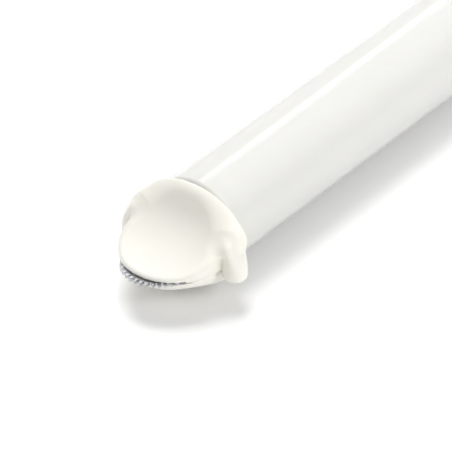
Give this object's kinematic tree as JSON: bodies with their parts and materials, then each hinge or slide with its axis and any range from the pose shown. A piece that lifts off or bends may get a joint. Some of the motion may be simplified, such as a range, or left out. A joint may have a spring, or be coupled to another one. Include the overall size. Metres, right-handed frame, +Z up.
{
  "type": "tailor's chalk liner pen",
  "caption": "Pen-style tailor's chalk liner: a toothed steel wheel in a scooped duck-bill head lays chalk powder from a refill in the barrel; its cap is posted on the rear.",
  "frame": {"origin": "centre of the pen's bounding box in plan, on the surface it lies on", "axes": "+X along the barrel out of the nose, +Y to the side, +Z up"},
  "size_m": [0.1352, 0.0168, 0.0134],
  "materials": {
    "cream_plastic": "glossy moulded, cream white",
    "milky_plastic": "glossy, translucent milky",
    "clear_plastic": "thin, translucent",
    "steel": "stamped sheet, bright",
    "seal_rubber": "soft, satin",
    "chalk": "fine dry powder"
  },
  "bodies": {
    "barrel": {"barrel_tube": "milky_plastic", "barrel_end_plug": "cream_plastic"},
    "head": {"head_body": "cream_plastic", "head_cover": "cream_plastic", "feed_tube": "cream_plastic", "neck_seal": "seal_rubber", "wheel_axle": "steel"},
    "wheel": {"marking_wheel": "steel", "wheel_hub": "cream_plastic"},
    "cartridge": {"cartridge_tube": "clear_plastic", "cartridge_plug": "cream_plastic", "chalk_powder": "chalk"},
    "cap": {"cap_shell": "milky_plastic"}
  },
  "joints": [
    {"name": "wheel_spin", "type": "hinge", "parent": "head", "child": "wheel", "pos_m": [0.06383, 0, 0.00418], "axis": [0, 0, 1], "continuous": true},
    {"name": "head_pull", "type": "slide", "parent": "barrel", "child": "head", "axis": [1, 0, 0], "range_m": [0, 0.108]},
    {"name": "cartridge_unplug", "type": "slide", "parent": "head", "child": "cartridge", "axis": [-1, 0, 0], "range_m": [0, 0.0065]},
    {"name": "cap_pull", "type": "slide", "parent": "barrel", "child": "cap", "axis": [-1, 0, 0], "range_m": [0, 0.026]}
  ]
}
